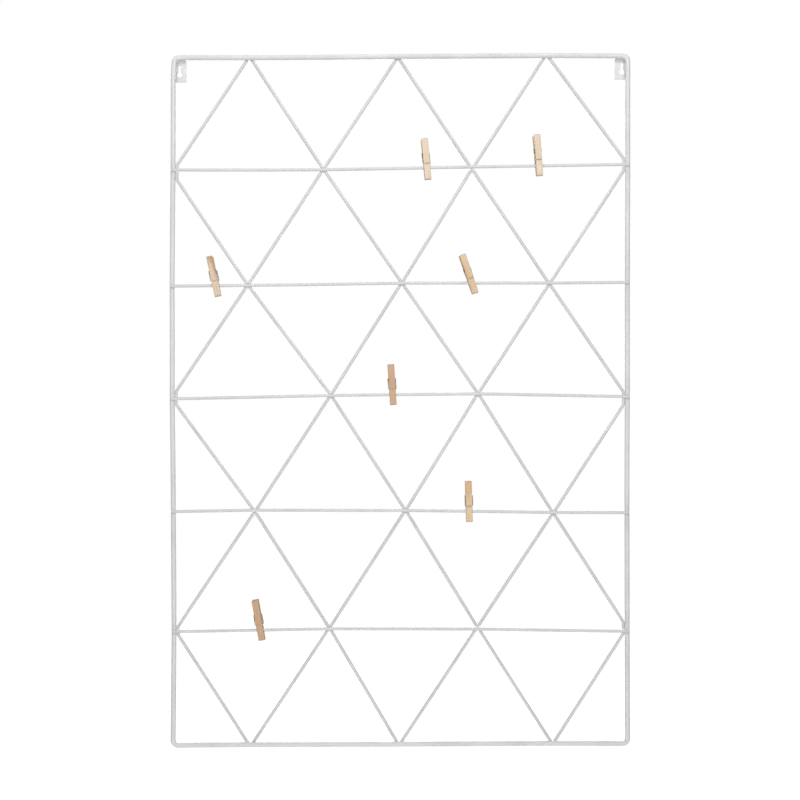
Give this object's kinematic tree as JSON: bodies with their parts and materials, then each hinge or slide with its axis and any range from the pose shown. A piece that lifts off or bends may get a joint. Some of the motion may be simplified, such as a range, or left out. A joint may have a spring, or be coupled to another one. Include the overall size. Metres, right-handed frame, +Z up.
{
  "type": "clip wall rack",
  "caption": "Rectangular bent-rod wall rack with welded cross wires and zigzag wires, keyhole hanger plates, and small wooden spring pegs that slide and open.",
  "frame": {"origin": "on the wall, midway between the two places where the wall screws sit at the tops of the keyhole slots", "axes": "+X to the right as seen from the room, +Y into the wall, +Z up"},
  "size_m": [0.6017, 0.0237, 0.9076],
  "materials": {
    "white_powder_coat": "satin white powder coat on steel wire",
    "peg_wood_pale": "sanded, unvarnished pale wood",
    "peg_wood_grained": "sanded, unvarnished wood with strong dark grain",
    "peg_wood_tan": "sanded, unvarnished tan wood",
    "peg_wood_brown": "sanded, unvarnished brown wood",
    "spring_steel": "drawn spring wire, dull"
  },
  "bodies": {
    "rack": {"cross_wire_1": "white_powder_coat", "cross_wire_2": "white_powder_coat", "cross_wire_3": "white_powder_coat", "cross_wire_4": "white_powder_coat", "cross_wire_5": "white_powder_coat", "hanger_plate_left": "white_powder_coat", "hanger_plate_right": "white_powder_coat", "outer_frame": "white_powder_coat", "zigzag_wire_1": "white_powder_coat", "zigzag_wire_2": "white_powder_coat", "zigzag_wire_3": "white_powder_coat", "zigzag_wire_4": "white_powder_coat", "zigzag_wire_5": "white_powder_coat", "zigzag_wire_6": "white_powder_coat"},
    "peg_1_coil": {"peg_1_spring": "spring_steel"},
    "peg_1_front": {"peg_1_front_half": "peg_wood_pale"},
    "peg_1_back": {"peg_1_back_half": "peg_wood_pale"},
    "peg_2_coil": {"peg_2_spring": "spring_steel"},
    "peg_2_front": {"peg_2_front_half": "peg_wood_pale"},
    "peg_2_back": {"peg_2_back_half": "peg_wood_pale"},
    "peg_3_coil": {"peg_3_spring": "spring_steel"},
    "peg_3_front": {"peg_3_front_half": "peg_wood_grained"},
    "peg_3_back": {"peg_3_back_half": "peg_wood_grained"},
    "peg_4_coil": {"peg_4_spring": "spring_steel"},
    "peg_4_front": {"peg_4_front_half": "peg_wood_tan"},
    "peg_4_back": {"peg_4_back_half": "peg_wood_tan"},
    "peg_5_coil": {"peg_5_spring": "spring_steel"},
    "peg_5_front": {"peg_5_front_half": "peg_wood_brown"},
    "peg_5_back": {"peg_5_back_half": "peg_wood_brown"},
    "peg_6_coil": {"peg_6_spring": "spring_steel"},
    "peg_6_front": {"peg_6_front_half": "peg_wood_tan"},
    "peg_6_back": {"peg_6_back_half": "peg_wood_tan"},
    "peg_7_coil": {"peg_7_spring": "spring_steel"},
    "peg_7_front": {"peg_7_front_half": "peg_wood_brown"},
    "peg_7_back": {"peg_7_back_half": "peg_wood_brown"}
  },
  "joints": [
    {"name": "peg_1_slide", "type": "slide", "parent": "rack", "child": "peg_1_coil", "axis": [0.9998, 0, 0.0189], "range_m": [-0.097, 0.026]},
    {"name": "peg_1_open", "type": "hinge", "parent": "peg_1_coil", "child": "peg_1_front", "pos_m": [0.0331, -0.01745, -0.12153], "axis": [-0.9931, -0.0698, -0.0939], "range_deg": [0, 10], "stiffness_Nm_per_rad": 0.02, "springref_deg": -2.86, "deforming": ["peg_1_spring"]},
    {"name": "peg_1_open_back", "type": "hinge", "parent": "peg_1_coil", "child": "peg_1_back", "pos_m": [0.0331, -0.01745, -0.12153], "axis": [0.9931, 0.0698, 0.0939], "range_deg": [0, 10]},
    {"name": "peg_2_slide", "type": "slide", "parent": "rack", "child": "peg_2_coil", "axis": [0.9999, 0, 0.0164], "range_m": [-0.045, 0.081]},
    {"name": "peg_2_open", "type": "hinge", "parent": "peg_2_coil", "child": "peg_2_front", "pos_m": [0.17867, -0.01745, -0.1165], "axis": [-0.9942, -0.0698, -0.0817], "range_deg": [0, 10], "stiffness_Nm_per_rad": 0.02, "springref_deg": -2.86, "deforming": ["peg_2_spring"]},
    {"name": "peg_2_open_back", "type": "hinge", "parent": "peg_2_coil", "child": "peg_2_back", "pos_m": [0.17867, -0.01745, -0.1165], "axis": [0.9942, 0.0698, 0.0817], "range_deg": [0, 10]},
    {"name": "peg_3_slide", "type": "slide", "parent": "rack", "child": "peg_3_coil", "axis": [1, 0, 0.009], "range_m": [-0.038, 0.013]},
    {"name": "peg_3_open", "type": "hinge", "parent": "peg_3_coil", "child": "peg_3_front", "pos_m": [-0.24378, -0.01745, -0.27404], "axis": [-0.975, -0.0698, -0.2108], "range_deg": [0, 10], "stiffness_Nm_per_rad": 0.02, "springref_deg": -2.86, "deforming": ["peg_3_spring"]},
    {"name": "peg_3_open_back", "type": "hinge", "parent": "peg_3_coil", "child": "peg_3_back", "pos_m": [-0.24378, -0.01745, -0.27404], "axis": [0.975, 0.0698, 0.2108], "range_deg": [0, 10]},
    {"name": "peg_4_slide", "type": "slide", "parent": "rack", "child": "peg_4_coil", "axis": [1, 0, 0.0009], "range_m": [-0.046, 0.078]},
    {"name": "peg_4_open", "type": "hinge", "parent": "peg_4_coil", "child": "peg_4_front", "pos_m": [0.08708, -0.01745, -0.27119], "axis": [-0.9448, -0.0523, -0.3235], "range_deg": [0, 10], "stiffness_Nm_per_rad": 0.02, "springref_deg": -2.86, "deforming": ["peg_4_spring"]},
    {"name": "peg_4_open_back", "type": "hinge", "parent": "peg_4_coil", "child": "peg_4_back", "pos_m": [0.08708, -0.01745, -0.27119], "axis": [0.9448, 0.0523, 0.3235], "range_deg": [0, 10]},
    {"name": "peg_5_slide", "type": "slide", "parent": "rack", "child": "peg_5_coil", "axis": [0.9999, 0, 0.0112], "range_m": [-0.042, 0.076]},
    {"name": "peg_5_open", "type": "hinge", "parent": "peg_5_coil", "child": "peg_5_front", "pos_m": [-0.01111, -0.01745, -0.41471], "axis": [-0.9972, -0.0349, -0.0662], "range_deg": [0, 10], "stiffness_Nm_per_rad": 0.02, "springref_deg": -2.86, "deforming": ["peg_5_spring"]},
    {"name": "peg_5_open_back", "type": "hinge", "parent": "peg_5_coil", "child": "peg_5_back", "pos_m": [-0.01111, -0.01745, -0.41471], "axis": [0.9972, 0.0349, 0.0662], "range_deg": [0, 10]},
    {"name": "peg_6_slide", "type": "slide", "parent": "rack", "child": "peg_6_coil", "axis": [0.9999, 0, -0.0135], "range_m": [-0.046, 0.075]},
    {"name": "peg_6_open", "type": "hinge", "parent": "peg_6_coil", "child": "peg_6_front", "pos_m": [0.08909, -0.01745, -0.56669], "axis": [-0.9996, 0, -0.0297], "range_deg": [0, 10], "stiffness_Nm_per_rad": 0.02, "springref_deg": -2.86, "deforming": ["peg_6_spring"]},
    {"name": "peg_6_open_back", "type": "hinge", "parent": "peg_6_coil", "child": "peg_6_back", "pos_m": [0.08909, -0.01745, -0.56669], "axis": [0.9996, 0, 0.0297], "range_deg": [0, 10]},
    {"name": "peg_7_slide", "type": "slide", "parent": "rack", "child": "peg_7_coil", "axis": [0.9998, 0, 0.0189], "range_m": [-0.068, 0.06]},
    {"name": "peg_7_open", "type": "hinge", "parent": "peg_7_coil", "child": "peg_7_front", "pos_m": [-0.18539, -0.01745, -0.72124], "axis": [-0.9842, -0.0349, -0.1735], "range_deg": [0, 10], "stiffness_Nm_per_rad": 0.02, "springref_deg": -2.86, "deforming": ["peg_7_spring"]},
    {"name": "peg_7_open_back", "type": "hinge", "parent": "peg_7_coil", "child": "peg_7_back", "pos_m": [-0.18539, -0.01745, -0.72124], "axis": [0.9842, 0.0349, 0.1735], "range_deg": [0, 10]}
  ],
  "couplings": [
    {"joint": "peg_1_open_back", "follows": "peg_1_open", "ratio": 1},
    {"joint": "peg_2_open_back", "follows": "peg_2_open", "ratio": 1},
    {"joint": "peg_3_open_back", "follows": "peg_3_open", "ratio": 1},
    {"joint": "peg_4_open_back", "follows": "peg_4_open", "ratio": 1},
    {"joint": "peg_5_open_back", "follows": "peg_5_open", "ratio": 1},
    {"joint": "peg_6_open_back", "follows": "peg_6_open", "ratio": 1},
    {"joint": "peg_7_open_back", "follows": "peg_7_open", "ratio": 1}
  ]
}
